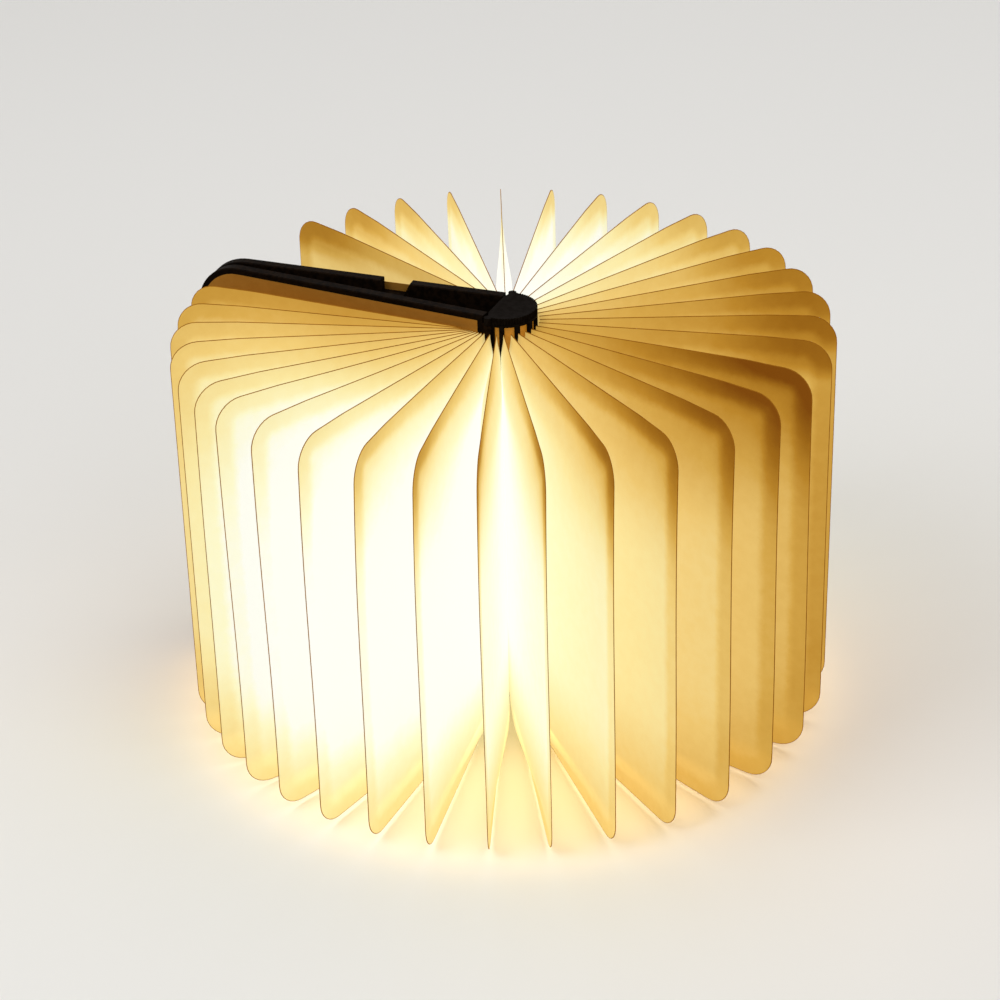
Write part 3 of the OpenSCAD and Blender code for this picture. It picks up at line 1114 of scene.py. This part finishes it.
class LeafMesh:
    """A leaf's mesh under way: points that remember their flat place, and faces with the page's UV."""

    def __init__(self, leaf: Leaf) -> None:
        """Start empty.

        Args:
            leaf: The leaf to build.
        """
        self.leaf = leaf
        self.mesh = bmesh.new()
        self.uv = self.mesh.loops.layers.uv.new("page")
        self.lit = self.mesh.verts.layers.float.new("lit")
        self.flat: dict[bmesh.types.BMVert, tuple[float, float]] = {}

    def put(self, u: float, v: float, side: int, half: float) -> bmesh.types.BMVert:
        """Add a point.

        Args:
            u: Distance from the root.
            v: Height above the foot.
            side: 1 or -1.
            half: How far it stands off the middle of the pocket.

        Returns:
            The point.
        """
        vert = self.mesh.verts.new(self.leaf.point(u, v, side, half))
        vert[self.lit] = self.leaf.lit(u, v, side)
        self.flat[vert] = (u, v)
        return vert

    def quad(self, *corners: bmesh.types.BMVert, slot: int, flip: bool = False) -> None:
        """Add a face with the page's UV, the sloping top drawn straight.

        Args:
            *corners: The face's four points.
            slot: Its material's slot.
            flip: Whether it faces the other way.
        """
        face = self.mesh.faces.new(corners[::-1] if flip else corners)
        face.material_index = slot
        face.smooth = True
        height = self.leaf.height
        for loop in face.loops:
            u, v = self.flat[loop.vert]
            loop[self.uv].uv = (u, v*height/(height - self.leaf.drop(u)))

    def strip(self, one: list[bmesh.types.BMVert], other: list[bmesh.types.BMVert], slot: int,
              flip: bool = False) -> None:
        """Join two rows of points with faces.

        Args:
            one: The first row.
            other: The second row, as long.
            slot: The faces' material slot.
            flip: Whether they face the other way.
        """
        for a in range(len(one) - 1):
            self.quad(one[a], one[a + 1], other[a + 1], other[a], slot=slot, flip=flip)

    def column(self, u: float, side: int) -> list[bmesh.types.BMVert]:
        """Add a column of points, closer together near its ends.

        Args:
            u: Distance from the root.
            side: 1 or -1.

        Returns:
            The points from the foot up.
        """
        leaf, rows, rim, crowding = self.leaf, self.leaf.shape.rows, self.leaf.shape.rim, 0.6
        low, high = leaf.round_off(u, rim), leaf.top(u, rim)
        points = []
        for j in range(rows + 1):
            crowded = 0.5 - 0.5*math.cos(math.pi*j/rows)
            v = low + (high - low)*(crowding*crowded + (1.0 - crowding)*j/rows)
            points.append(self.put(u, v, side, leaf.half(u, v, side)))
        return points

    def rim_point(self, vert: bmesh.types.BMVert, side: int) -> bmesh.types.BMVert:
        """Add the rim's outer point beside a point of the rim's inner line.

        Args:
            vert: The inner point.
            side: 1 or -1.

        Returns:
            The outer point.
        """
        leaf, s = self.leaf, self.leaf.shape
        u, v = self.flat[vert]
        straight = s.corner*0.999
        if straight < v < leaf.height - straight and u > leaf.place.width - s.rim*1.5:
            du, dv = 1.0, 0.0
        else:
            du, dv = leaf.outward(u)
            if v > leaf.height/2:
                dv = -dv
        return self.put(u + du*s.rim, v + dv*s.rim, side, s.rim_half)

    def sheet(self, side: int) -> tuple[list[bmesh.types.BMVert], list[bmesh.types.BMVert]]:
        """Lay one sheet and its rim.

        Args:
            side: 1 or -1.

        Returns:
            The rim's outer points from the foot's root end round to the top's, and the points up the mouth.
        """
        grid = [self.column(u, side) for u in self.leaf.columns()]
        for near, far in zip(grid, grid[1:]):
            for j in range(self.leaf.shape.rows):
                self.quad(near[j], far[j], far[j + 1], near[j + 1], slot=SHEET, flip=side > 0)
        inner = [c[0] for c in grid] + grid[-1][1:-1] + [c[-1] for c in reversed(grid)]
        outer = [self.rim_point(vert, side) for vert in inner]
        self.strip(outer, inner, slot=RIM, flip=side > 0)
        return outer, [outer[0], *grid[0], outer[-1]]

    def finish(self, name: str) -> bpy.types.Mesh:
        """Turn the faces outwards and hand the mesh over.

        Args:
            name: The mesh's name.

        Returns:
            The mesh.
        """
        bmesh.ops.recalc_face_normals(self.mesh, faces=self.mesh.faces)
        data = bpy.data.meshes.new(name)
        self.mesh.to_mesh(data)
        self.mesh.free()
        return data


@dataclass
class ValleyGlow:
    """The warm light that leaves the valley between two leaves and falls on the floor before them."""

    leaf: Leaf
    after: Leaf
    reach: float = 94*MM
    low: float = 20*MM
    wide: float = 7*MM
    long: float = 106*MM
    power: float = 0.0062
    colour: Rgb = (1.0, 0.74, 0.4)

    def build(self) -> None:
        """Hang one small lamp low in the valley, facing down, and make it ride the first of the two leaves."""
        a, b = self.leaf.place, self.after.place
        out = (a.along() + b.along()).normalized()
        middle = (a.at(self.reach) + b.at(self.reach))*0.5
        data = bpy.data.lights.new(f"{self.leaf.name}_glow", "AREA")
        data.shape = "RECTANGLE"
        data.size, data.size_y = self.long, self.wide
        data.energy = self.power
        data.color = self.colour
        lamp = bpy.data.objects.new(data.name, data)
        lamp.location = (middle.x, middle.y, self.low)
        lamp.rotation_euler = (0.0, 0.0, math.atan2(out.y, out.x))
        lamp.visible_camera = False
        bpy.context.scene.collection.objects.link(lamp)
        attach(lamp, self.leaf.name)


class LeafBlock:
    """All the leaves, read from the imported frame."""

    def __init__(self, nodes: dict[str, bpy.types.Object], shape: LeafShape, light: PageLight) -> None:
        """Read where every leaf stands and how much room it has.

        Args:
            nodes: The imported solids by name.
            shape: The shared sizes.
            light: The shared light.
        """
        self.shape = shape
        self.leaves: list[Leaf] = []
        names = {side: sorted(n for n in nodes if n.startswith(f"leaf_{side.value}_")) for side in Side}
        row = [*reversed(names[Side.BACK]), *names[Side.FRONT]]
        places = [LeafPlace.read(nodes[name]) for name in row]
        middle = (len(row) - 1)/2
        split = len(names[Side.BACK])
        for i, (name, place) in enumerate(zip(row, places)):
            rooms = {}
            for side, j in ((1, i - 1), (-1, i + 1)):
                if 0 <= j < len(row):
                    share = shape.split_share if max(i, j) == split else shape.room_share
                    rooms[side] = Room.between(place, places[j], share)
            for side in (1, -1):
                rooms.setdefault(side, Room(shape.end_room, shape.end_room))
            self.leaves.append(Leaf(name, middle - i, place, shape, light, middle, rooms))

    def build(self, groups: SharedGroups) -> None:
        """Build every leaf, give it its paper and tie it to its body.

        Args:
            groups: The shared shader groups.
        """
        place = self.leaves[0].place
        paper = LitPaper(place.width, place.high - place.low, self.shape.corner, self.shape.margin).build(groups)
        # The rim is painted as dim lit paper: its brown is painted shade where little light passes the edge, its faint
        # glow painted light.
        rim = PlainPaper("darkened paper edge", (0.24, 0.088, 0.004), (0.33, 0.13, 0.008), glow=0.16).build(groups)
        for leaf in self.leaves:
            piece = leaf.build()
            for material in (paper, rim):
                piece.data.materials.append(material)
            leaf.tie(piece)
            log.info("%s: %s", piece.name, paper.name)
        for leaf, after in zip(self.leaves, self.leaves[1:]):
            ValleyGlow(leaf, after).build()
        log.info("leaves: %d", len(self.leaves))


# ----------------------------------------------------------------------------
# Covers and core, dressed as imported


class Dresser:
    """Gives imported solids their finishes."""

    def __init__(self, nodes: dict[str, bpy.types.Object], groups: SharedGroups) -> None:
        """Keep what every finish needs.

        Args:
            nodes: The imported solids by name.
            groups: The shared shader groups.
        """
        self.nodes = nodes
        self.groups = groups

    def dress(self, finish: Finish, *names: str) -> None:
        """Put one finish on the named solids.

        Args:
            finish: The finish.
            *names: The solids.
        """
        material = finish.build(self.groups)
        for name in names:
            solid = self.nodes[name]
            solid.data.materials.clear()
            solid.data.materials.append(material)
            log.info("%s: %s", name, material.name)


# ----------------------------------------------------------------------------
# Stage


@dataclass(frozen=True)
class SoftLamp:
    """A square area lamp that looks at the object."""

    name: str
    place: tuple[float, float, float]
    size: float
    power: float

    def build(self, aim: float) -> None:
        """Hang the lamp.

        Args:
            aim: The height that it looks at.
        """
        data = bpy.data.lights.new(self.name, "AREA")
        data.size = self.size
        data.energy = self.power
        lamp = bpy.data.objects.new(self.name, data)
        lamp.location = self.place
        lamp.rotation_euler = (Vector((0, 0, aim)) - Vector(self.place)).to_track_quat("-Z", "Y").to_euler()
        bpy.context.scene.collection.objects.link(lamp)


@dataclass
class Studio:
    """The pale floor, soft light and the camera that stands where the photograph was taken."""

    azimuth: float = 23.53
    elevation: float = 29.27
    distance: float = 1.4474
    aim: float = 0.1
    focal_px: float = 2875.0
    centre_px: tuple[float, float] = (503.5, 511.6)
    roll: float = 0.0251
    image_px: float = 1000.0
    sensor_mm: float = 36.0
    floor_half: float = 14.0
    floor_pales: tuple[float, float] = (1.1, 3.2)
    floor_far: float = 0.4
    fill: float = 0.4
    shown: Rgb = (0.95, 0.95, 0.95)
    lamps: tuple[SoftLamp, ...] = (
        SoftLamp("key", (-1.3, -1.6, 2.1), 1.6, 26.0),
        SoftLamp("fill", (1.8, -1.2, 1.5), 1.8, 12.0),
        SoftLamp("top", (0.2, 0.9, 2.4), 2.2, 22.0))

    def camera(self) -> None:
        """Create the camera."""
        a, e = math.radians(self.azimuth), math.radians(self.elevation)
        back = Vector((math.sin(a)*math.cos(e), -math.cos(a)*math.cos(e), math.sin(e)))
        right = Vector((math.cos(a), math.sin(a), 0.0))
        up = back.cross(right)
        c, s = math.cos(self.roll), math.sin(self.roll)
        x, y = right*c - up*s, right*s + up*c
        data = bpy.data.cameras.new("camera")
        data.sensor_width = self.sensor_mm
        data.lens = self.focal_px/self.image_px*self.sensor_mm
        data.shift_x = -(self.centre_px[0] - self.image_px/2)/self.image_px
        data.shift_y = (self.centre_px[1] - self.image_px/2)/self.image_px
        data.clip_start, data.clip_end = 0.05, 50.0
        camera = bpy.data.objects.new("camera", data)
        place = Vector((0.0, 0.0, self.aim)) + back*self.distance
        camera.matrix_world = Matrix.Translation(place) @ Matrix((x, y, back)).transposed().to_4x4()
        bpy.context.scene.collection.objects.link(camera)
        bpy.context.scene.camera = camera

    def floor(self) -> None:
        """Lay the pale floor, which glows a little far off, where the lamps don't reach."""
        mesh = bmesh.new()
        bmesh.ops.create_grid(mesh, x_segments=2, y_segments=2, size=self.floor_half)
        data = bpy.data.meshes.new("floor")
        mesh.to_mesh(data)
        mesh.free()
        floor = bpy.data.objects.new("floor", data)
        bpy.context.scene.collection.objects.link(floor)
        material, nodes, shader = start_material("pale floor")
        shader.inputs["Base Color"].default_value = (0.84, 0.83, 0.81, 1.0)
        shader.inputs["Emission Color"].default_value = (0.98, 0.98, 0.97, 1.0)
        from_middle = nodes.vector("LENGTH", nodes.add("ShaderNodeTexCoord").outputs["Object"]).outputs["Value"]
        nodes.wire(nodes.smooth(from_middle, *self.floor_pales, 0.0, self.floor_far),
                   shader.inputs["Emission Strength"])
        shader.inputs["Roughness"].default_value = 0.7
        shader.inputs["Specular IOR Level"].default_value = 0.1
        data.materials.append(material)

    def light(self) -> None:
        """Hang the soft lamps and set the world's fill."""
        world = bpy.data.worlds.new("studio")
        bpy.context.scene.world = world
        world.use_nodes = True
        nodes = Nodes(world.node_tree)
        path = nodes.add("ShaderNodeLightPath")
        seen = nodes.math("MAXIMUM", path.outputs["Is Camera Ray"],
                          nodes.math("MAXIMUM", path.outputs["Is Glossy Ray"], path.outputs["Is Transmission Ray"]))
        fill = nodes.add("ShaderNodeBackground")
        fill.inputs["Color"].default_value = (1.0, 0.99, 0.97, 1.0)
        fill.inputs["Strength"].default_value = self.fill
        shown = nodes.add("ShaderNodeBackground")
        shown.inputs["Color"].default_value = (*self.shown, 1.0)
        choose = nodes.add("ShaderNodeMixShader")
        nodes.wire(seen, choose.inputs[0])
        nodes.wire(fill.outputs[0], choose.inputs[1])
        nodes.wire(shown.outputs[0], choose.inputs[2])
        nodes.wire(choose.outputs[0], nodes.add("ShaderNodeOutputWorld").inputs["Surface"])
        for lamp in self.lamps:
            lamp.build(self.aim)

    def build(self) -> None:
        """Build the whole stage."""
        self.camera()
        self.floor()
        self.light()
        bpy.context.scene.view_settings.view_transform = "Standard"


def main() -> None:
    """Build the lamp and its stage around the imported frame."""
    logging.basicConfig(level=logging.INFO, format="%(name)s %(message)s")
    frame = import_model()
    nodes = frame["nodes"]
    groups = SharedGroups()
    dresser = Dresser(nodes, groups)
    Studio().build()
    LeafBlock(nodes, LeafShape(), PageLight()).build(groups)
    dresser.dress(Cloth("cover cloth", (0.003, 0.0015, 0.0007), (0.011, 0.0055, 0.0024)), "front_cover", "back_cover")
    # The end paper's amber colour and faint glow are painted light from the lit leaves falling on the covers' inner
    # faces.
    dresser.dress(PlainPaper("end paper in painted leaf light", (0.3, 0.135, 0.018), (0.325, 0.15, 0.022), glow=0.02),
                  "front_endpaper", "back_endpaper")
    dresser.dress(PlainPaper("cover board", (0.38, 0.28, 0.18), (0.46, 0.35, 0.24)), "front_board", "back_board")
    dresser.dress(Moulded("core plastic", (0.003, 0.0016, 0.0008), roughness=0.75, shine=0.02), "top_cap",
                  "core_frame", "spine_plate", "bottom_cap")
    dresser.dress(Moulded("lit diffuser", (0.34, 0.15, 0.014), glow=(0.5, 0.2, 0.012), glow_strength=0.3), "diffuser")
    dresser.dress(Moulded("light board lacquer", (0.8, 0.8, 0.76)), "front_led_board", "back_led_board")
    dresser.dress(Moulded("phosphor", (0.9, 0.7, 0.2), glow=(1.0, 0.8, 0.4), glow_strength=2.0), "front_leds",
                  "back_leds")
    dresser.dress(Moulded("battery wrap", (0.02, 0.08, 0.3), coat=0.3), "battery")
    dresser.dress(Moulded("board lacquer", (0.01, 0.09, 0.03), coat=0.4), "control_board")
    dresser.dress(Moulded("sensor body", (0.01, 0.01, 0.01)), "cover_sensor")
    dresser.dress(Metal("plated steel", (0.62, 0.61, 0.6)), "front_magnets", "back_magnets", "front_hinge_pin",
                  "back_hinge_pin", "spine_screws", "base_screws", "charging_socket")
    dresser.dress(Metal("rolled aluminium", (0.8, 0.8, 0.81), 0.4), "led_carrier")


if __name__ == "__main__":
    main()
